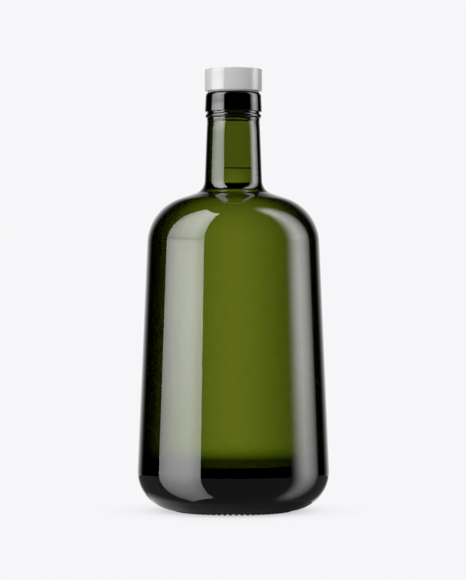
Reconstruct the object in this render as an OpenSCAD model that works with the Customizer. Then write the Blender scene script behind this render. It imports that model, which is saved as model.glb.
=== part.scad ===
// Round-shouldered glass oil bottle with a bar-top stopper.
// Millimetres, +Z up, origin at the centre of the base, on the surface the bottle stands on.

/* [Body] */
// Widest diameter of the glass, just above the heel
body_d = 99.6; // [96:0.2:104]
// Narrowing of the body towards the shoulder, degrees each side
flank_taper = 2.45; // [1.5:0.05:3]
// Height of the centre of the shoulder's curve
shoulder_z = 138.4; // [132:0.2:142]
// Radius of the shoulder's curve
shoulder_r = 25.2; // [22:0.2:27]
// Slope of the shoulder where it runs up to the neck, degrees
shoulder_slope = 18; // [14:1:22]
// Radius of the heel between body and base
heel_r = 19.9; // [16:0.1:22]

/* [Neck] */
// Height of the glass, from the base to the top of the mouth
glass_h = 217.3; // [212:0.1:226]
// Diameter of the neck just under the bead
neck_d = 27.6; // [26.8:0.1:28.4]
// Widening of the neck towards the shoulder, degrees each side
neck_taper = 2; // [1:0.1:2.6]
// Radius of the sweep from neck to shoulder
neck_sweep_r = 7.4; // [5:0.1:9]

/* [Mouth] */
// Diameter of the collar round the mouth, at its lower edge
collar_d = 29.7; // [29:0.1:31]
// Height of the collar
collar_h = 10.3; // [9:0.1:11]
// Diameter of the bead under the collar
bead_d = 29.2; // [28.8:0.1:30.4]
// Diameter of the bore that holds the stopper
bore_d = 18.6; // [18:0.1:19.4]

/* [Inside] */
// Thickness of the glass in body and shoulder
wall = 4.3; // [3:0.1:4.8]
// Height of the inside floor above the base
floor_z = 24.5; // [14:0.5:30]
// Radius of the inside corner between floor and wall
corner_r = 8; // [4:0.5:14]
// Height of the oil's surface
oil_z = 177; // [176:0.2:186]

/* [Base] */
// Number of ribs in the bearing ring that the bottle stands on
rib_count = 64; // [32:4:80]
// Mean diameter of the bearing ring
ring_d = 57.6; // [50:0.2:58]
// Rise of the hollow in the middle of the base
punt_h = 3.5; // [2:0.1:6]

/* [Stopper] */
// Diameter of the cap
cap_d = 30; // [28:0.1:32]
// Height of the cap
cap_h = 11.4; // [9:0.1:14]
// Length of the shank that plugs the bore
shank_l = 10; // [9:0.1:14]
// Gap between shank and bore, each side
shank_gap = 0.05; // [0.02:0.01:0.1]

/* [Hidden] */
$fn = 96;

arc_steps = 14;
heel_lift = 0.6;
rib_h = 0.9;
ring_w = 4;
ring_root = 1.6;
rib_in = 1;
rib_out = 1.6;
liquid_gap = 0.1;
seat_gap = 0.1;
sweep_extra = 0.6;
cut = 1;

collar_top_in = 0.35;
collar_corner_r = 2;
collar_edge_r = 0.4;
groove_d = 27.4;
groove_h = 0.75;
bead_r = 1.25;
bore_l = 15.5;
lip_r = 0.7;

shell_wall = 1.2;
shell_edge_r = 0.5;
insert_gap = 0.05;
insert_rim = 0.4;
flange_d = 24.4;
flange_h = 0.5;
spigot_d = 8;
spigot_l = 8;
spigot_gap = 0.05;
shank_chamfer = 1;

collar_z = glass_h - collar_h;
bead_z = collar_z - groove_h - bead_r;
bead_low_a = acos((neck_d - bead_d) / 2 / bead_r + 1);
bead_high_a = acos((groove_d - bead_d) / 2 / bead_r + 1);
neck_top_z = bead_z - bead_r * sin(bead_low_a);
bore_z = glass_h - bore_l;
seat_z = glass_h + seat_gap;
cap_z = seat_z + flange_h;
sweep_in_r = neck_sweep_r + wall + sweep_extra;

// Distance of the body's straight flank from the origin, along its normal
flank_n = [cos(flank_taper), sin(flank_taper)];
heel_c = [body_d / 2 - heel_r, heel_lift + heel_r];
flank_dist = flank_n * heel_c + heel_r;
shoulder_c = [(flank_dist - shoulder_r - shoulder_z * flank_n.y) / flank_n.x, shoulder_z];
slope_n = [sin(shoulder_slope), cos(shoulder_slope)];
neck_n = [cos(neck_taper), sin(neck_taper)];

// Points on an arc about c, from angle a to angle b
function arc(c, r, a, b, steps = arc_steps) =
    [for (i = [0:steps]) c + r * [cos(a + (b - a) * i / steps), sin(a + (b - a) * i / steps)]];

// Point at distance p along normal m and distance q along normal n
function meet(m, p, n, q) = [p * n.y - q * m.y, q * m.x - p * n.x] / (m.x * n.y - m.y * n.x);

// Line up the shoulder and the sweep to the neck, t inside the glass's outer face.
// The neck's line passes through the point top.
function shoulder_line(t, sweep_r, top) =
    let (sweep_c = meet(
        slope_n, slope_n * shoulder_c + shoulder_r - t + sweep_r,
        neck_n, neck_n * top + sweep_r))
    concat(
        arc(shoulder_c, shoulder_r - t, flank_taper, 90 - shoulder_slope),
        arc(sweep_c, sweep_r, 270 - shoulder_slope, 180 + neck_taper));

// Line of the bottle's outer face, from the middle of the base to the mouth
function outer_line() = concat(
    arc([0, punt_c_z], punt_r, 90, 90 - punt_a, 6),
    arc(heel_c, heel_r, -90, flank_taper),
    shoulder_line(0, neck_sweep_r, [neck_d / 2, neck_top_z]),
    arc([bead_d / 2 - bead_r, bead_z], bead_r, -bead_low_a, bead_high_a, 8),
    [[groove_d / 2, collar_z]],
    arc([collar_d / 2 - collar_edge_r, collar_z + collar_edge_r], collar_edge_r, -90, 0, 4),
    arc([collar_d / 2 - collar_top_in - collar_corner_r, glass_h - collar_corner_r],
        collar_corner_r, 0, 90, 8));

// Line of the cavity, t inside the outer face, from the middle of its floor up to the point top
function cavity_line(t, floor_h, r, top) = concat(
    [[0, floor_h]],
    arc([(flank_dist - t - r - (floor_h + r) * flank_n.y) / flank_n.x, floor_h + r],
        r, -90, flank_taper),
    shoulder_line(t, sweep_in_r + t - wall, top),
    [top]);

punt_edge_r = ring_d / 2 - ring_w / 2;
punt_r = (punt_edge_r * punt_edge_r + punt_h * punt_h) / (2 * punt_h);
punt_c_z = heel_lift + punt_h - punt_r;
punt_a = asin(punt_edge_r / punt_r);
mouth_in = [bore_d / 2, bore_z];

module bearing_ring() {
    difference() {
        cylinder(h = ring_root, d = ring_d + ring_w);
        translate([0, 0, -cut]) cylinder(h = ring_root + 2 * cut, d = ring_d - ring_w);
    }
}

module rib_grooves() {
    for (i = [0:rib_count - 1])
        rotate([0, 0, 360 * i / rib_count])
            translate([punt_edge_r - rib_in, 0, 0])
                rotate([0, 90, 0])
                    cylinder(h = ring_w + rib_in + rib_out, r = rib_h, $fn = 24);
}

module cavity() {
    rotate_extrude()
        polygon(concat(
            cavity_line(wall, floor_z, corner_r, mouth_in),
            arc([bore_d / 2 + lip_r, glass_h - lip_r], lip_r, 180, 90, 4),
            [[bore_d / 2 + lip_r, glass_h + cut], [0, glass_h + cut]]));
}

module glass_bottle() {
    color([0.13, 0.2, 0.03, 0.6])
        difference() {
            union() {
                rotate_extrude() polygon(concat(outer_line(), [[0, glass_h]]));
                bearing_ring();
            }
            cavity();
            rib_grooves();
        }
}

module oil_fill() {
    top_r = bore_d / 2 + (bore_z - oil_z) * tan(neck_taper) - liquid_gap;
    color([0.75, 0.68, 0.2, 0.7])
        rotate_extrude()
            polygon(concat(
                cavity_line(wall + liquid_gap, floor_z + liquid_gap, corner_r - liquid_gap,
                    [top_r, oil_z]),
                [[0, oil_z]]));
}

module cap_shell() {
    color([0.95, 0.95, 0.95])
        translate([0, 0, cap_z])
            rotate_extrude()
                polygon(concat(
                    [[cap_d / 2 - shell_wall, 0], [cap_d / 2, 0]],
                    arc([cap_d / 2 - shell_edge_r, cap_h - shell_edge_r], shell_edge_r, 0, 90, 6),
                    [
                        [0, cap_h],
                        [0, cap_h - shell_wall],
                        [cap_d / 2 - shell_wall, cap_h - shell_wall]
                    ]));
}

module cap_insert() {
    insert_r = cap_d / 2 - shell_wall - insert_gap;
    color([0.9, 0.9, 0.88])
        translate([0, 0, cap_z]) {
            translate([0, 0, insert_rim])
                cylinder(h = cap_h - shell_wall - insert_gap - insert_rim, r = insert_r);
            cylinder(h = insert_rim, r = insert_r - insert_rim);
            translate([0, 0, -flange_h])
                cylinder(h = flange_h, r1 = flange_d / 2, r2 = flange_d / 2 + 2 * flange_h);
            translate([0, 0, -spigot_l]) cylinder(h = spigot_l + insert_rim, d = spigot_d);
        }
}

module stopper_shank() {
    shank_r = bore_d / 2 - shank_gap;
    top_z = seat_z - spigot_gap;
    end_z = glass_h - shank_l;
    color([0.08, 0.08, 0.08])
        difference() {
            union() {
                translate([0, 0, end_z + shank_chamfer])
                    cylinder(h = top_z - end_z - shank_chamfer, r = shank_r);
                translate([0, 0, end_z])
                    cylinder(h = shank_chamfer, r1 = shank_r - shank_chamfer, r2 = shank_r);
            }
            translate([0, 0, cap_z - spigot_l - spigot_gap])
                cylinder(h = spigot_l + cut, d = spigot_d + 2 * spigot_gap);
        }
}

glass_bottle();
oil_fill();
cap_shell();
cap_insert();
stopper_shank();
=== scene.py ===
import math

import bmesh
import bpy
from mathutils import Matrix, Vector


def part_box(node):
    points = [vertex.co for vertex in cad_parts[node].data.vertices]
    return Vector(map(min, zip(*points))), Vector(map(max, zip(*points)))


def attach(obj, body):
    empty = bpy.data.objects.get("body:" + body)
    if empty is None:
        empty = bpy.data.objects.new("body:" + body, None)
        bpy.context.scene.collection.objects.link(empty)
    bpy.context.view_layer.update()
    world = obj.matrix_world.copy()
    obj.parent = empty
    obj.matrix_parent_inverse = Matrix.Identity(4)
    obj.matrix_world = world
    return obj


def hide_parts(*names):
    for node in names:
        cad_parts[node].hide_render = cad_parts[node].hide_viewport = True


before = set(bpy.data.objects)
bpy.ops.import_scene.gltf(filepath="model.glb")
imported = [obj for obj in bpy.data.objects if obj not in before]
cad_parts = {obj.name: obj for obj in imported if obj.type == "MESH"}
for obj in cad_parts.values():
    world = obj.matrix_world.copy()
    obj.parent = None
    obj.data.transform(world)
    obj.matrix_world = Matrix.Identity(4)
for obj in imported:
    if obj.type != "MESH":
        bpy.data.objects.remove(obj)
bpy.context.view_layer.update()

MM = 0.001

# ---------------------------------------------------------------- sizes
# In millimetres, as in the CAD model

BODY_R = 49.8
FLANK_TAPER = 2.45
SHOULDER_Z = 138.4
SHOULDER_R = 25.2
SHOULDER_SLOPE = 18.0
HEEL_R = 19.9
HEEL_LIFT = 0.6
NECK_R = 13.8
NECK_TAPER = 2.0
NECK_SWEEP_R = 7.4
SWEEP_EXTRA = 0.6
COLLAR_R = 14.85
COLLAR_H = 10.3
COLLAR_TOP_IN = 0.35
COLLAR_CORNER_R = 2.0
COLLAR_EDGE_R = 0.4
BEAD_R = 14.6
BEAD_ROUND = 1.25
GROOVE_R = 13.7
GROOVE_H = 0.75
NECK_LINE_DEPTH = 0.12
NECK_LINE_DROP = 1.9
NECK_LINE_FLOOR = 0.2
NECK_LINE_HALF = 0.4
BORE_R = 9.3
BORE_L = 15.5
LIP_ROUND = 0.7
WALL = 4.3
CAVITY_FLOOR_Z = 24.5
CAVITY_CORNER_R = 8.0
RING_MID_R = 28.8
RING_W = 4.0
RING_EDGE_R = 0.35
RIB_COUNT = 64
RIB_R = 0.9
RIB_IN = 1.0
RIB_OUT = 1.6
FOOT_H = 3.0
PUNT_H = 3.5
MENISCUS_H = 0.8
MENISCUS_REACH = 0.8
OIL_OVERLAP = 0.06
# Tells a point on a line from one beside it
HAIR = 0.01

# Refraction of the glass and the oil, and the colour that thick glass takes
GLASS_IOR = 1.5
OIL_IOR = 1.47
GLASS_COLOUR = (0.604, 0.656, 0.13, 1.0)

GLASS_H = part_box("glass_bottle")[1].z / MM
OIL_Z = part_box("oil_fill")[1].z / MM
COLLAR_Z = GLASS_H - COLLAR_H
BEAD_Z = COLLAR_Z - GROOVE_H - BEAD_ROUND
BEAD_LOW_A = math.degrees(math.acos((NECK_R - BEAD_R) / BEAD_ROUND + 1))
BEAD_HIGH_A = math.degrees(math.acos((GROOVE_R - BEAD_R) / BEAD_ROUND + 1))
NECK_TOP_Z = BEAD_Z - BEAD_ROUND * math.sin(math.radians(BEAD_LOW_A))

# ---------------------------------------------------------------- outlines


def polar(angle):
    """Unit vector at an angle in degrees."""
    return Vector((math.cos(math.radians(angle)), math.sin(math.radians(angle))))


def arc(centre, radius, start, end, steps):
    """Points of an arc in the (radius, height) plane, from one angle to another, ends included."""
    return [Vector(centre) + radius * polar(start + (end - start) * i / steps) for i in range(steps + 1)]


def straight(a, b, steps):
    """Points between two ends, without the ends themselves."""
    return [Vector(a).lerp(Vector(b), i / steps) for i in range(1, steps)]


def meet(m, p, n, q):
    """Point common to the lines m.x = p and n.x = q."""
    det = m.x * n.y - m.y * n.x
    return Vector(((p * n.y - q * m.y) / det, (q * m.x - p * n.x) / det))


FLANK_N = polar(FLANK_TAPER)
SLOPE_N = polar(90 - SHOULDER_SLOPE)
NECK_N = polar(NECK_TAPER)
HEEL_C = Vector((BODY_R - HEEL_R, HEEL_LIFT + HEEL_R))
FLANK_DIST = FLANK_N.dot(HEEL_C) + HEEL_R
SHOULDER_C = Vector(((FLANK_DIST - SHOULDER_R - SHOULDER_Z * FLANK_N.y) / FLANK_N.x, SHOULDER_Z))


def shoulder_line(inset, sweep_r, top):
    """Shoulder arc and the sweep into a neck that passes through top, set in from the outside by inset."""
    slope_dist = SLOPE_N.dot(SHOULDER_C) + SHOULDER_R - inset
    sweep_c = meet(SLOPE_N, slope_dist + sweep_r, NECK_N, NECK_N.dot(top) + sweep_r)
    crown = arc(SHOULDER_C, SHOULDER_R - inset, FLANK_TAPER, 90 - SHOULDER_SLOPE, 22)
    sweep = arc(sweep_c, sweep_r, 270 - SHOULDER_SLOPE, 180 + NECK_TAPER, 18)
    return crown + sweep


def cavity_line(grow, top):
    """Inside of the bottle from the middle of its floor up to top, grown outwards by grow."""
    inset = WALL - grow
    floor_z = CAVITY_FLOOR_Z - grow
    corner_r = CAVITY_CORNER_R + grow
    corner_x = (FLANK_DIST - inset - corner_r - (floor_z + corner_r) * FLANK_N.y) / FLANK_N.x
    corner = arc((corner_x, floor_z + corner_r), corner_r, -90, FLANK_TAPER, 14)
    shoulder = shoulder_line(inset, NECK_SWEEP_R + 2 * WALL + SWEEP_EXTRA - inset, top)
    floor = straight((0, floor_z), corner[0], 8)
    flank = straight(corner[-1], shoulder[0], 16)
    return [Vector((0, floor_z))] + floor + corner + flank + shoulder


def foot_line():
    """Underside, from the middle of the punt out over the rounded bearing ring."""
    inner, outer = RING_MID_R - RING_W / 2, RING_MID_R + RING_W / 2
    punt_r = (inner**2 + PUNT_H**2) / (2 * PUNT_H)
    punt_a = math.degrees(math.asin(inner / punt_r))
    punt = arc((0, HEEL_LIFT + PUNT_H - punt_r), punt_r, 90, 90 - punt_a, 16)
    punt[0].x = 0
    edge = RING_EDGE_R
    inner_edge = arc((inner + edge, edge), edge, 180, 270, 3)
    outer_edge = arc((outer - edge, edge), edge, 270, 360, 3)
    return punt + inner_edge + straight((inner + edge, 0), (outer - edge, 0), 3) + outer_edge


def outer_line():
    """Outside of the bottle from the edge of the bearing ring up to the mouth and down its bore."""
    heel_start = -math.degrees(math.acos((RING_MID_R + RING_W / 2 - HEEL_C.x) / HEEL_R))
    heel = arc(HEEL_C, HEEL_R, heel_start, FLANK_TAPER, 36)
    shoulder = shoulder_line(0, NECK_SWEEP_R, Vector((NECK_R, NECK_TOP_Z)))
    flank = straight(heel[-1], shoulder[0], 16)
    line_in = NECK_R - NECK_LINE_DEPTH
    line_z = NECK_TOP_Z - NECK_LINE_DROP
    line_foot = [Vector((NECK_R, line_z - NECK_LINE_HALF)), Vector((line_in, line_z - NECK_LINE_FLOOR))]
    line_head = [Vector((line_in, line_z + NECK_LINE_FLOOR)), Vector((NECK_R, line_z + NECK_LINE_HALF))]
    neck = straight(shoulder[-1], line_foot[0], 6) + line_foot + line_head
    bead = arc((BEAD_R - BEAD_ROUND, BEAD_Z), BEAD_ROUND, -BEAD_LOW_A, BEAD_HIGH_A, 16)
    edge = arc((COLLAR_R - COLLAR_EDGE_R, COLLAR_Z + COLLAR_EDGE_R), COLLAR_EDGE_R, -90, 0, 5)
    top_r = COLLAR_R - COLLAR_TOP_IN - COLLAR_CORNER_R
    corner = arc((top_r, GLASS_H - COLLAR_CORNER_R), COLLAR_CORNER_R, 0, 90, 10)
    mouth = arc((BORE_R + LIP_ROUND, GLASS_H - LIP_ROUND), LIP_ROUND, 90, 180, 6)
    groove = [Vector((GROOVE_R, COLLAR_Z))]
    bore_z = GLASS_H - BORE_L
    bore = straight(mouth[-1], (BORE_R, bore_z), 6)
    finish = bead + groove + edge + corner + mouth + bore
    return heel + flank + shoulder + neck + finish


# ---------------------------------------------------------------- mesh building


def ring(bm, point, count, lift=None):
    """A ring of vertices round the Z axis, in metres, or one vertex for a point on the axis."""
    if point.x < 1e-6:
        return [bm.verts.new((0, 0, point.y * MM))]
    verts = []
    for i in range(count):
        turn = 2 * math.pi * i / count
        height = point.y if lift is None else lift(point, turn)
        place = Vector((point.x * math.cos(turn), point.x * math.sin(turn), height))
        verts.append(bm.verts.new(place * MM))
    return verts


def bridge(bm, lower, upper):
    """Joins two rings of any counts, facing out for an outline that runs upwards."""
    n, m = len(lower), len(upper)
    faces = []
    if n == m:
        for i in range(n):
            j = (i + 1) % n
            faces.append(bm.faces.new((lower[i], lower[j], upper[j], upper[i])))
        return faces
    lower_steps = n if n > 1 else 0
    upper_steps = m if m > 1 else 0
    i = j = 0
    while i < lower_steps or j < upper_steps:
        if j == upper_steps or (i < lower_steps and (i + 0.5) * m <= (j + 0.5) * n):
            faces.append(bm.faces.new((lower[i], lower[(i + 1) % n], upper[j % m])))
            i += 1
        else:
            faces.append(bm.faces.new((lower[i % n], upper[(j + 1) % m], upper[j])))
            j += 1
    return faces


def link_object(name, bm):
    """Makes an object of a finished mesh and puts it in the scene."""
    mesh = bpy.data.meshes.new(name)
    bm.to_mesh(mesh)
    bm.free()
    obj = bpy.data.objects.new(name, mesh)
    bpy.context.scene.collection.objects.link(obj)
    return obj


def lathe(name, points, counts, sharp=35, lift=None, marks=None):
    """Turns an outline round the Z axis. counts gives the vertices of each ring.
    marks maps a face attribute's name to its value on each band between two rings.
    Edges that turn by more than sharp degrees stay sharp, and lift sets the height of the finer rings."""
    bm = bmesh.new()
    layers = {mark: bm.faces.layers.float.new(mark) for mark in marks or {}}
    rings = [ring(bm, p, c, lift if c > TURN else None) for p, c in zip(points, counts)]
    for i in range(len(rings) - 1):
        for face in bridge(bm, rings[i], rings[i + 1]):
            for mark, layer in layers.items():
                face[layer] = marks[mark][i]
    bm.normal_update()
    for face in bm.faces:
        face.smooth = True
    for e in bm.edges:
        e.smooth = e.calc_face_angle(0) < math.radians(sharp)
    return link_object(name, bm)


# ---------------------------------------------------------------- materials


def new_material(name):
    """New material with its nodes, its links and its main shader."""
    mat = bpy.data.materials.new(name)
    mat.use_nodes = True
    return mat, mat.node_tree.nodes, mat.node_tree.links, mat.node_tree.nodes["Principled BSDF"]


def map_range(nodes, links, source, span, low, high):
    """Value that goes from low to high while source goes over span."""
    node = nodes.new("ShaderNodeMapRange")
    node.inputs["From Min"].default_value = span[0]
    node.inputs["From Max"].default_value = span[1]
    node.inputs["To Min"].default_value = low
    node.inputs["To Max"].default_value = high
    links.new(source, node.inputs["Value"])
    return node.outputs[0]


def mesh_mark(nodes, mark):
    """An attribute of the mesh, such as one that lathe() wrote."""
    node = nodes.new("ShaderNodeAttribute")
    node.attribute_name = mark
    return node.outputs["Fac"]


def ramp(nodes, links, source, stops):
    """Grey level by source, through stops of (position, level)."""
    node = nodes.new("ShaderNodeValToRGB")
    while len(node.color_ramp.elements) < len(stops):
        node.color_ramp.elements.new(1)
    for element, (at, level) in zip(node.color_ramp.elements, stops):
        element.position = at
        element.color = (level, level, level, 1)
    links.new(source, node.inputs["Fac"])
    return node.outputs["Color"]


def colour_mix(nodes, links, factor, a, b):
    """Colour between a and b. Each of the three is a node's output or a plain value."""
    node = nodes.new("ShaderNodeMix")
    node.data_type = "RGBA"
    for value, socket in ((factor, node.inputs["Factor"]), (a, node.inputs["A"]), (b, node.inputs["B"])):
        if isinstance(value, bpy.types.NodeSocket):
            links.new(value, socket)
        else:
            socket.default_value = value
    return node.outputs["Result"]


def noise(nodes, links, scale, detail=2.0, stretch=(1, 1, 1)):
    """Noise in object space, scale in cells per metre."""
    coords = nodes.new("ShaderNodeTexCoord")
    mapping = nodes.new("ShaderNodeMapping")
    mapping.inputs["Scale"].default_value = stretch
    node = nodes.new("ShaderNodeTexNoise")
    node.inputs["Scale"].default_value = scale
    node.inputs["Detail"].default_value = detail
    links.new(coords.outputs["Object"], mapping.inputs["Vector"])
    links.new(mapping.outputs[0], node.inputs["Vector"])
    return node.outputs["Fac"]


def bump(nodes, links, shader, height, depth):
    """Bump of a depth in metres."""
    node = nodes.new("ShaderNodeBump")
    node.inputs["Distance"].default_value = depth
    node.inputs["Strength"].default_value = 1.0
    links.new(height, node.inputs["Height"])
    links.new(node.outputs[0], shader.inputs["Normal"])


# Painted edge shade: share of light the glass lets through by how far its surface turns away from the eye,
# partly the deeper colour of a longer way through the glass and partly painted shade in place of dark
# surroundings at the sides
BODY_EDGE_SHADE = ((0, 1.0), (0.05, 0.80), (0.13, 0.63), (0.2, 0.53), (0.29, 0.22), (0.37, 0.05), (0.47, 0.008),
             (0.6, 0.001))
NECK_EDGE_SHADE = ((0, 0.57), (0.13, 0.68), (0.22, 0.57), (0.32, 0.25), (0.4, 0.06), (0.5, 0.01), (0.6, 0.001))
# How much a surface's tilt up or down counts beside its turn to the side in the painted edge shade
TILT_SHARE = 0.35
# Painted shade: near-black colour of the collar, the bead and the fine line under it
RIM_SHADE = (0.0015, 0.002, 0.0004, 1)
# Heights in metres between which the body's painted edge shade gives way to the neck's
NECK_BLEND_Z = (0.168, 0.180)


def glass_painted_shade(nodes, links):
    """Colour of the outer face with painted shade: darker towards the edges, and nearly black on the collar
    and bead.
    """
    coords = nodes.new("ShaderNodeTexCoord")
    levelled = nodes.new("ShaderNodeVectorMath")
    levelled.operation = "MULTIPLY"
    levelled.inputs[1].default_value = (1, 1, TILT_SHARE)
    links.new(coords.outputs["Normal"], levelled.inputs[0])
    unit = nodes.new("ShaderNodeVectorMath")
    unit.operation = "NORMALIZE"
    links.new(levelled.outputs[0], unit.inputs[0])
    facing = nodes.new("ShaderNodeLayerWeight")
    facing.inputs["Blend"].default_value = 0.5
    links.new(unit.outputs[0], facing.inputs["Normal"])
    body = ramp(nodes, links, facing.outputs["Facing"], BODY_EDGE_SHADE)
    neck = ramp(nodes, links, facing.outputs["Facing"], NECK_EDGE_SHADE)
    split = nodes.new("ShaderNodeSeparateXYZ")
    links.new(coords.outputs["Object"], split.inputs[0])
    height = map_range(nodes, links, split.outputs["Z"], NECK_BLEND_Z, 0, 1)
    edge = colour_mix(nodes, links, height, body, neck)
    # Painted edge shade, on the outer face only
    tint = colour_mix(nodes, links, mesh_mark(nodes, "outer"), (1, 1, 1, 1), edge)
    # Painted shade: collar, bead and fine line nearly black
    return colour_mix(nodes, links, mesh_mark(nodes, "rim"), tint, RIM_SHADE)


def glass_material():
    """Dark green glass that absorbs light along its way through, faintly wavy, with traces of haze."""
    mat, nodes, links, shader = new_material("green_glass")
    shader.inputs["Transmission Weight"].default_value = 1.0
    links.new(mesh_mark(nodes, "ior"), shader.inputs["IOR"])
    # Base colour with painted shade: darker towards the edges, nearly black on the collar and bead
    links.new(glass_painted_shade(nodes, links), shader.inputs["Base Color"])
    haze = noise(nodes, links, 900, 3.0)
    links.new(map_range(nodes, links, haze, (0.5, 0.8), 0.0, 0.03), shader.inputs["Roughness"])
    bump(nodes, links, shader, noise(nodes, links, 28, 1.0, (1, 1, 0.4)), 0.000015)
    absorb = nodes.new("ShaderNodeVolumeAbsorption")
    absorb.inputs["Density"].default_value = 600.0
    absorb.inputs["Color"].default_value = GLASS_COLOUR
    links.new(absorb.outputs[0], nodes["Material Output"].inputs["Volume"])
    return mat


def oil_material():
    """Clear golden oil, a little cloudy in places. It bends light only at its free surface, because the
    glass round it already bends light by the difference between the two."""
    mat, nodes, links, shader = new_material("oil")
    shader.inputs["Transmission Weight"].default_value = 1.0
    links.new(mesh_mark(nodes, "ior"), shader.inputs["IOR"])
    cloud = noise(nodes, links, 22, 2.0)
    tint = colour_mix(nodes, links, cloud, (1, 1, 1, 1), (0.985, 0.98, 0.95, 1))
    links.new(tint, shader.inputs["Base Color"])
    shader.inputs["Roughness"].default_value = 0.0
    absorb = nodes.new("ShaderNodeVolumeAbsorption")
    absorb.inputs["Density"].default_value = 1.0
    absorb.inputs["Color"].default_value = (0.95, 0.85, 0.2, 1.0)
    links.new(absorb.outputs[0], nodes["Material Output"].inputs["Volume"])
    return mat


def gloss_material():
    """White glossy moulding, with a faint orange-peel and uneven gloss."""
    mat, nodes, links, shader = new_material("white_gloss")
    cloud = noise(nodes, links, 160, 3.0)
    tint = colour_mix(nodes, links, cloud, (0.86, 0.86, 0.855, 1), (0.83, 0.83, 0.825, 1))
    links.new(tint, shader.inputs["Base Color"])
    haze = noise(nodes, links, 700, 4.0)
    links.new(map_range(nodes, links, haze, (0.35, 0.75), 0.04, 0.09), shader.inputs["Roughness"])
    shader.inputs["Specular IOR Level"].default_value = 0.38
    bump(nodes, links, shader, noise(nodes, links, 500, 2.0), 0.000001)
    return mat


def plastic_material():
    """White satin moulding with a fine matt grain."""
    mat, nodes, links, shader = new_material("white_plastic")
    cloud = noise(nodes, links, 240, 3.0)
    tint = colour_mix(nodes, links, cloud, (0.92, 0.92, 0.915, 1), (0.88, 0.88, 0.87, 1))
    links.new(tint, shader.inputs["Base Color"])
    grain = noise(nodes, links, 4500, 3.0)
    links.new(map_range(nodes, links, grain, (0.3, 0.7), 0.4, 0.6), shader.inputs["Roughness"])
    bump(nodes, links, shader, grain, 0.00001)
    return mat


def black_material():
    """Black polymer stopper: grainy, with faint draw marks down its length."""
    mat, nodes, links, shader = new_material("black_stopper")
    grain = noise(nodes, links, 1800, 5.0)
    tint = colour_mix(nodes, links, grain, (0.003, 0.003, 0.003, 1), (0.012, 0.012, 0.012, 1))
    links.new(tint, shader.inputs["Base Color"])
    links.new(map_range(nodes, links, grain, (0.3, 0.7), 0.45, 0.7), shader.inputs["Roughness"])
    shader.inputs["Specular IOR Level"].default_value = 0.3
    bump(nodes, links, shader, noise(nodes, links, 1400, 4.0, (1, 1, 0.15)), 0.00003)
    return mat


# ---------------------------------------------------------------- pieces

# Vertices round the glass, round its ribbed foot, and round the stopper
TURN = 192
FINE_TURN = 12 * RIB_COUNT
CAP_TURN = 128
CAP_EDGE_R = 0.5
CAP_FOOT_R = 0.25
SHELL_WALL = 1.2
INSERT_GAP = 0.05
INSERT_RIM = 0.4
FLANGE_R = 12.2
FLANGE_H = 0.5
FLANGE_EDGE = 0.1
SPIGOT_R = 4.0
SPIGOT_EDGE = 0.4
SHANK_ROUND = 1.0
SHANK_EDGE = 0.3
SEAL_RINGS = 3
SEAL_GROOVE = 0.18


def rib_lift(point, turn):
    """Height of the foot at an angle, with the rib grooves cut into it."""
    pitch = 2 * math.pi / RIB_COUNT
    off = abs((turn / pitch + 0.5) % 1 - 0.5) * pitch * point.x
    groove = math.sqrt(max(0, RIB_R**2 - off**2))
    inner = RING_MID_R - RING_W / 2 - RIB_IN
    outer = RING_MID_R + RING_W / 2 + RIB_OUT
    return max(point.y, groove) if inner < point.x < outer else point.y


def is_rim(low, high):
    """Whether a band of the glass is part of the collar, the bead or the fine line under it, which are
    painted nearly black as shade.
    """
    mid = (low + high) / 2
    if mid.y > COLLAR_Z:
        return mid.x > BORE_R + HAIR
    if mid.y > NECK_TOP_Z:
        return mid.x > NECK_R and mid.y < BEAD_Z + BEAD_ROUND
    on_line = abs(mid.y - NECK_TOP_Z + NECK_LINE_DROP) < NECK_LINE_HALF
    return on_line and mid.x > NECK_R - 2 * NECK_LINE_DEPTH


def wet_ior(upper, lower):
    """Refraction from oil into glass. The rounded corner of the floor has none, so that it shows no edge."""
    mid_z = (upper.y + lower.y) / 2
    corner = CAVITY_FLOOR_Z + HAIR < mid_z < CAVITY_FLOOR_Z + CAVITY_CORNER_R
    return 1.0 if corner else GLASS_IOR / OIL_IOR


def cut_at(line, height):
    """Adds the point where a line that runs down crosses a height, and gives its place in the line."""
    last = [i for i, p in enumerate(line) if p.y > height][-1]
    upper, lower = line[last], line[last + 1]
    line.insert(last + 1, upper.lerp(lower, (upper.y - height) / (upper.y - lower.y)))
    return last + 1


def make_glass():
    """The glass, from the middle of its punt over the outside and down the inside to its floor."""
    outside = foot_line() + outer_line()
    neck_in = Vector((BORE_R, GLASS_H - BORE_L))
    cavity = cavity_line(0, neck_in)[::-1]
    inside = [neck_in] + straight(neck_in, cavity[0], 8) + cavity
    first_wet = len(outside) + cut_at(inside, OIL_Z + MENISCUS_H)
    line = outside + inside
    bands = list(zip(line, line[1:]))
    foot_in, foot_out = RING_MID_R - RING_W, RING_MID_R + RING_W
    counts = [FINE_TURN if foot_in < p.x < foot_out and p.y < FOOT_H else TURN for p in line]
    marks = {
        "outer": [float(i < len(outside) - 1) for i in range(len(bands))],
        # Bands painted nearly black as shade
        "rim": [float(is_rim(*band)) for band in bands],
        "ior": [wet_ior(*band) if i >= first_wet else GLASS_IOR for i, band in enumerate(bands)],
    }
    return lathe("bottle_glass", line, counts, lift=rib_lift, marks=marks)


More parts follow.
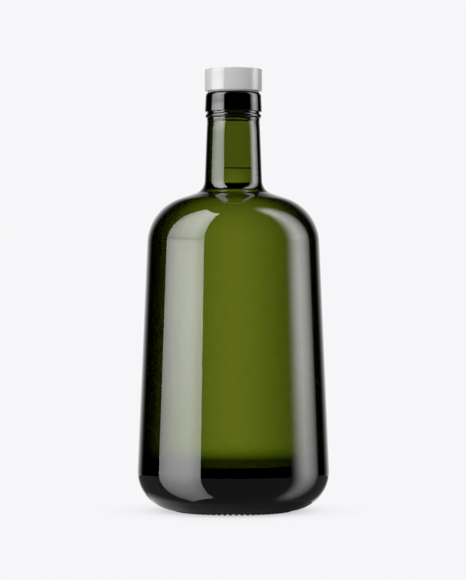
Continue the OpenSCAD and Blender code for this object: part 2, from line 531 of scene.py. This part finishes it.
def make_oil():
    """The oil, a little larger than the cavity, with a surface that climbs the glass at its edge."""
    wall = cavity_line(OIL_OVERLAP, Vector((BORE_R + OIL_OVERLAP, GLASS_H - BORE_L)))
    contact_z = OIL_Z + MENISCUS_H
    edge_r = BORE_R + OIL_OVERLAP + (GLASS_H - BORE_L - contact_z) * math.tan(math.radians(NECK_TAPER))
    wall.append(Vector((edge_r, contact_z)))
    surface = []
    steps = 16
    for i in range(1, steps + 1):
        d = 5 * MENISCUS_REACH * (i / steps) ** 1.5
        surface.append(Vector((edge_r - d, OIL_Z + MENISCUS_H * math.exp(-d / MENISCUS_REACH))))
    surface.append(Vector((0, OIL_Z)))
    line = wall + surface
    marks = {"ior": [OIL_IOR if i >= len(wall) - 1 else 1.0 for i in range(len(line) - 1)]}
    return lathe("oil", line, [TURN] * len(line), sharp=50, marks=marks)


def make_cap_shell():
    """Cap's white cover: a cup with rounded edges, open below."""
    lo, hi = (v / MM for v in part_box("cap_shell"))
    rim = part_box("cap_insert")[1].x / MM + INSERT_GAP
    under = hi.z - SHELL_WALL
    foot = arc((hi.x - CAP_FOOT_R, lo.z + CAP_FOOT_R), CAP_FOOT_R, -90, 0, 5)
    edge = arc((hi.x - CAP_EDGE_R, hi.z - CAP_EDGE_R), CAP_EDGE_R, 0, 90, 8)
    inner = [(0, under), (rim * 0.5, under), (rim, under), (rim, (under + lo.z) / 2), (rim, lo.z)]
    top = [(hi.x * 0.5, hi.z), (0, hi.z)]
    outline = [Vector(p) for p in inner] + foot + edge + [Vector(p) for p in top]
    return lathe("cap_cover", outline, [CAP_TURN] * len(outline))


def make_insert():
    """Core of the stopper: its spigot, the flange that sits on the glass, and the disc inside the shell."""
    lo, hi = (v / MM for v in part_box("cap_insert"))
    cap_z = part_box("cap_shell")[0].z / MM
    seat_z = cap_z - FLANGE_H
    disc_r = hi.x - INSERT_RIM
    disc_z = cap_z + INSERT_RIM
    spigot_end = [(0, lo.z), (SPIGOT_R - SPIGOT_EDGE, lo.z), (SPIGOT_R, lo.z + SPIGOT_EDGE)]
    spigot = spigot_end + [(SPIGOT_R, seat_z)]
    edge = [(FLANGE_R - FLANGE_EDGE, seat_z), (FLANGE_R, seat_z + 0.6 * FLANGE_EDGE)]
    flange = edge + [(FLANGE_R + FLANGE_H, cap_z)]
    disc = [(disc_r, cap_z), (disc_r, disc_z), (hi.x, disc_z)]
    top = [(hi.x, hi.z), (0, hi.z)]
    outline = [Vector(p) for p in spigot + flange + disc + top]
    return lathe("cap_core", outline, [CAP_TURN] * len(outline))


def make_shank():
    """Plug with a rounded end and three shallow sealing rings, open above for the spigot."""
    lo, hi = (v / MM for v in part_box("stopper_shank"))
    hole_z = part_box("cap_insert")[0].z / MM - INSERT_GAP
    hole_r = SPIGOT_R + INSERT_GAP
    end = arc((hi.x - SHANK_ROUND, lo.z + SHANK_ROUND), SHANK_ROUND, -90, 0, 8)
    edge = [(hi.x, hi.z - SHANK_EDGE), (hi.x - SHANK_EDGE, hi.z)]
    top = edge + [(hole_r, hi.z), (hole_r, hole_z), (0, hole_z)]
    groove_r = hi.x - SEAL_GROOVE
    side = []
    for i in range(SEAL_RINGS):
        z = lo.z + SHANK_ROUND + (hi.z - lo.z - SHANK_ROUND) * (i + 0.7) / SEAL_RINGS
        side += [(hi.x, z - SEAL_GROOVE), (groove_r, z - 0.4 * SEAL_GROOVE)]
        side += [(groove_r, z + 0.4 * SEAL_GROOVE), (hi.x, z + SEAL_GROOVE)]
    outline = [Vector((0, lo.z))] + end + [Vector(p) for p in side + top]
    return lathe("stopper_plug", outline, [CAP_TURN] * len(outline))


def dress(obj, mat, body, node):
    """Gives a piece its material, tells the frame what it rides on, and hides the CAD part that it takes the
    place of.
    """
    obj.data.materials.append(mat)
    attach(obj, body)
    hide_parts(node)


dress(make_glass(), glass_material(), "bottle", "glass_bottle")
dress(make_oil(), oil_material(), "bottle", "oil_fill")
dress(make_cap_shell(), gloss_material(), "stopper", "cap_shell")
dress(make_insert(), plastic_material(), "stopper", "cap_insert")
dress(make_shank(), black_material(), "stopper", "stopper_shank")

# ---------------------------------------------------------------- studio
# In metres. Azimuth 0 faces -Y, where the camera stands, and azimuth 90 faces +X.

BACKGROUND = (0.923, 0.923, 0.939)
WHITE = (1, 1, 1)
FLOOR_SIZE = 60
# The studio's centre, and how far from it the softboxes, the backdrop and the fill light are
PANEL_Z = 0.12
PANEL_AWAY = 1.2
BACK_AWAY = 4.0
DOME_AWAY = 5.0
# Elevation below which reflections see the floor
HORIZON = -7.5

CAMERA_PLACE = (-0.0002, -1.3, 0.1146)
CAMERA_LENS = 155.17
CAMERA_SENSOR = 36


def towards(az, el):
    """Unit vector by azimuth and elevation in degrees."""
    a, e = math.radians(az), math.radians(el)
    return Vector((math.sin(a) * math.cos(e), -math.cos(a) * math.cos(e), math.sin(e)))


def spread(low, high, steps):
    """Evenly spaced values from low to high, ends included."""
    return [low + (high - low) * i / steps for i in range(steps + 1)]


def smoothstep(a, b, x):
    """Smooth rise from 0 at a to 1 at b."""
    t = min(1, max(0, (x - a) / (b - a)))
    return t * t * (3 - 2 * t)


def profile(x, stops):
    """Value at x on a line through stops of (position, value)."""
    if x <= stops[0][0]:
        return stops[0][1]
    for (low, a), (high, b) in zip(stops, stops[1:]):
        if x < high:
            return a + (b - a) * (x - low) / (high - low)
    return stops[-1][1]


def emission(name, colour):
    """New material that only glows, with its nodes, its links and the socket of its strength."""
    mat = bpy.data.materials.new(name)
    mat.use_nodes = True
    nodes, links = mat.node_tree.nodes, mat.node_tree.links
    nodes.remove(nodes["Principled BSDF"])
    glow = nodes.new("ShaderNodeEmission")
    glow.inputs["Color"].default_value = (*colour, 1)
    links.new(glow.outputs[0], nodes["Material Output"].inputs["Surface"])
    return mat, nodes, links, glow.inputs["Strength"]


def put_on_stage(obj, mat, *rays):
    """Gives a studio object its material. Only these kinds of ray see it, and it casts no shadow."""
    obj.data.materials.append(mat)
    for kind in ("camera", "diffuse", "glossy", "transmission", "volume_scatter", "shadow"):
        setattr(obj, "visible_" + kind, kind in rays)


def glow_sheet(name, columns, ray):
    """Glowing sheet, seen by one kind of ray, through columns of (point, brightness)."""
    bm = bmesh.new()
    glow = bm.verts.layers.float.new("glow")
    grid = []
    for column in columns:
        verts = []
        for point, brightness in column:
            v = bm.verts.new(point)
            v[glow] = brightness
            verts.append(v)
        grid.append(verts)
    for a, b in zip(grid, grid[1:]):
        for j in range(len(a) - 1):
            bm.faces.new((a[j], b[j], b[j + 1], a[j + 1]))
    mat, nodes, links, strength = emission(name, WHITE)
    links.new(mesh_mark(nodes, "glow"), strength)
    put_on_stage(link_object(name, bm), mat, ray)


def sky_patch(name, azimuths, elevations, away, brightness, ray="glossy", steps=(24, 24)):
    """Part of a sphere round the studio's centre, with a brightness by azimuth and elevation."""
    centre = Vector((0, 0, PANEL_Z))
    columns = []
    for az in spread(*azimuths, steps[0]):
        heights = spread(*elevations, steps[1])
        columns.append([(centre + away * towards(az, el), brightness(az, el)) for el in heights])
    glow_sheet(name, columns, ray)


def make_world():
    """Pale surroundings that only the camera and light through the glass see."""
    world = bpy.data.worlds.new("studio")
    bpy.context.scene.world = world
    world.use_nodes = True
    back = world.node_tree.nodes["Background"]
    back.inputs["Color"].default_value = (*BACKGROUND, 1)
    back.inputs["Strength"].default_value = 1.0
    world.cycles_visibility.glossy = False
    world.cycles_visibility.diffuse = False


def make_sun(name, azimuth, elevation, strength, softness):
    """Lamp for the plain pieces, which doesn't show in reflections."""
    data = bpy.data.lights.new(name, "SUN")
    data.energy = strength
    data.angle = math.radians(softness)
    sun = bpy.data.objects.new(name, data)
    sun.rotation_mode = "QUATERNION"
    sun.rotation_quaternion = towards(azimuth, elevation).to_track_quat("Z", "Y")
    sun.visible_glossy = False
    sun.visible_transmission = False
    bpy.context.scene.collection.objects.link(sun)


def make_camera():
    """Camera level with the middle of the bottle, as in the photo."""
    data = bpy.data.cameras.new("camera")
    data.sensor_width = CAMERA_SENSOR
    data.lens = CAMERA_LENS
    cam = bpy.data.objects.new("camera", data)
    cam.location = CAMERA_PLACE
    cam.rotation_euler = (math.radians(90), 0, 0)
    bpy.context.scene.collection.objects.link(cam)
    bpy.context.scene.camera = cam


# ---------------------------------------------------------------- floor

# Brightness of the floor by distance from the bottle's axis, as a share of FLOOR_REACH
FLOOR_REACH = 0.1
FLOOR_LIGHT = ((0.18, 0.0), (0.26, 0.5), (0.32, 0.61), (0.39, 0.79), (0.44, 0.88), (0.49, 0.94),
               (0.57, 0.975), (0.75, 1.0))
# Brightness of the floor in the reflections seen from the camera's side
FLOOR_DIM = 0.17

# Brightness of the floor close to the bottle: round it by azimuth, and outwards by distance from its axis
NEAR_ROUND = ((-180, 0.95), (-100, 0.8), (-65, 0.52), (-49, 0.42), (-36, 0.25), (0, 0.21), (25, 0.16),
              (47, 0.08), (65, 0.07), (90, 0.16), (120, 0.5), (180, 0.95))
NEAR_OUT = ((0.03, 0.06), (0.0325, 0.22), (0.037, 0.6), (0.043, 1.0), (0.048, 1.3))
# Its rings out to NEAR_R, then the rings of a border that fades into the far floor, as shares of the
# border's width, and that width by azimuth: wide on the left, and hardly anything on the right
NEAR_RINGS = (0.0, 0.02, 0.03, 0.031, 0.0325, 0.035, 0.037, 0.04, 0.043)
NEAR_R = 0.0445
BORDER_SHARES = (0, 0.2, 0.43, 0.66, 1)
BORDER_WIDTH = ((-110, 0.0176), (-40, 0.0001), (176.25, 0.0001), (180, 0.0176))


def make_floor():
    """Pale floor with the bottle's soft contact shadow, by distance from its axis."""
    bm = bmesh.new()
    bmesh.ops.create_grid(bm, x_segments=1, y_segments=1, size=FLOOR_SIZE)
    mat, nodes, links, strength = emission("floor", BACKGROUND)
    coords = nodes.new("ShaderNodeTexCoord")
    away = nodes.new("ShaderNodeVectorMath")
    away.operation = "LENGTH"
    links.new(coords.outputs["Object"], away.inputs[0])
    reach = map_range(nodes, links, away.outputs["Value"], (0, FLOOR_REACH), 0, 1)
    links.new(ramp(nodes, links, reach, FLOOR_LIGHT), strength)
    put_on_stage(link_object("floor", bm), mat, "camera", "transmission")


def far_glow(az, el):
    """Brightness of the far floor in a reflection: dim in front, bright low down behind the bottle."""
    sides = 0.06 * smoothstep(110, 135, abs(az))
    behind = 0.8 * smoothstep(155, 172, abs(az))
    return FLOOR_DIM + (behind - sides) * (1 - smoothstep(35, 60, abs(el)))


def near_glow(az, r):
    """Brightness of the near floor in a reflection, dark where the bottle stands."""
    return profile(az, NEAR_ROUND) * profile(r, NEAR_OUT)


def near_column(az):
    """Points and brightness of the near floor, from the bottle's axis outwards at an azimuth."""
    way = towards(az, 0)
    column = [(r * way, near_glow(az, r)) for r in NEAR_RINGS]
    for share in BORDER_SHARES:
        r = NEAR_R + share * profile(az, BORDER_WIDTH)
        fade = smoothstep(0, 1, share)
        column.append((r * way, near_glow(az, r) * (1 - fade) + far_glow(az, 0) * fade))
    return column


# ---------------------------------------------------------------- lights

# Brightness of each softbox by height, and across it by azimuth
LEFT_UP = ((-1.6, 2.4), (-0.6, 3.9), (-0.05, 5.7), (0.05, 6.8), (0.1, 7.4), (0.19, 8.5), (0.26, 8.3),
           (0.3, 6.9), (0.33, 5.6), (0.4, 7.0), (0.9, 8.3))
LEFT_ACROSS = ((-98.5, 0.45), (-93, 0.6), (-88, 0.72), (-80, 0.88), (-72, 0.98), (-64, 1.07), (-57, 1.13),
               (-51, 1.05), (-45, 0.88), (-39, 0.74))
RIGHT_UP = ((-1.6, 0.9), (-0.6, 2.0), (-0.05, 3.6), (0.05, 4.5), (0.1, 5.3), (0.19, 5.7), (0.26, 5.2),
            (0.33, 6.5), (0.4, 6.0), (0.9, 5.5))
RIGHT_ACROSS = ((71, 0), (75, 0.1), (81, 0.5), (88, 0.97), (95.5, 1.12), (103.5, 0.8), (112, 0.43),
                (118, 0.15), (121.5, 0))


def panel_height(el):
    """Height at which a softbox shows at an elevation."""
    return PANEL_Z + PANEL_AWAY * math.tan(math.radians(el))


def left_glow(az, el):
    """Brightness of the left softbox, which has hard edges."""
    return profile(panel_height(el), LEFT_UP) * profile(az, LEFT_ACROSS)


def right_glow(az, el):
    """Brightness of the right softbox, which fades out all round and never below the floor's."""
    ends = smoothstep(-68, -50, el) * (1 - smoothstep(60, 76, el))
    light = profile(panel_height(el), RIGHT_UP) * profile(az, RIGHT_ACROSS) * ends
    return max(light, far_glow(az, el)) if el < HORIZON else light


def back_glow(az, el):
    """Brightness of the backdrop behind the bottle."""
    across = smoothstep(138, 165, az) * (1 - smoothstep(195, 222, az))
    return 0.95 * across * (1 - smoothstep(12, 34, abs(el)))


def fill_glow(az, el):
    """Brightness of the light round the plain pieces: most of it comes level, and more from the sides."""
    level_light = math.exp(-(el / 16) ** 2)
    return (0.06 + 0.95 * level_light) * (0.85 + 0.5 * smoothstep(50, 120, abs(az)))


make_world()
make_floor()
glow_sheet("shine_floor", [near_column(az) for az in spread(-180, 180, 96)], "glossy")
sky_patch("dim_floor", (-180, 180), (-90, HORIZON), BACK_AWAY, far_glow, steps=(96, 24))
sky_patch("left_box", (-98.5, -38.5), (-65, 69), PANEL_AWAY, left_glow, steps=(40, 160))
sky_patch("right_box", (71, 121.5), (-70, 78), PANEL_AWAY, right_glow, steps=(40, 160))
sky_patch("back_box", (136, 224), (HORIZON, 35), BACK_AWAY, back_glow)
sky_patch("fill_dome", (-180, 180), (-90, 90), DOME_AWAY, fill_glow, ray="diffuse", steps=(48, 24))
make_sun("key", -50, -4, 1.22, 24)
make_sun("side", 75, -4, 0.3, 24)
make_sun("top", 0, 85, 1.8, 30)
make_camera()
bpy.context.scene.view_settings.view_transform = "Standard"

bpy.context.view_layer.update()
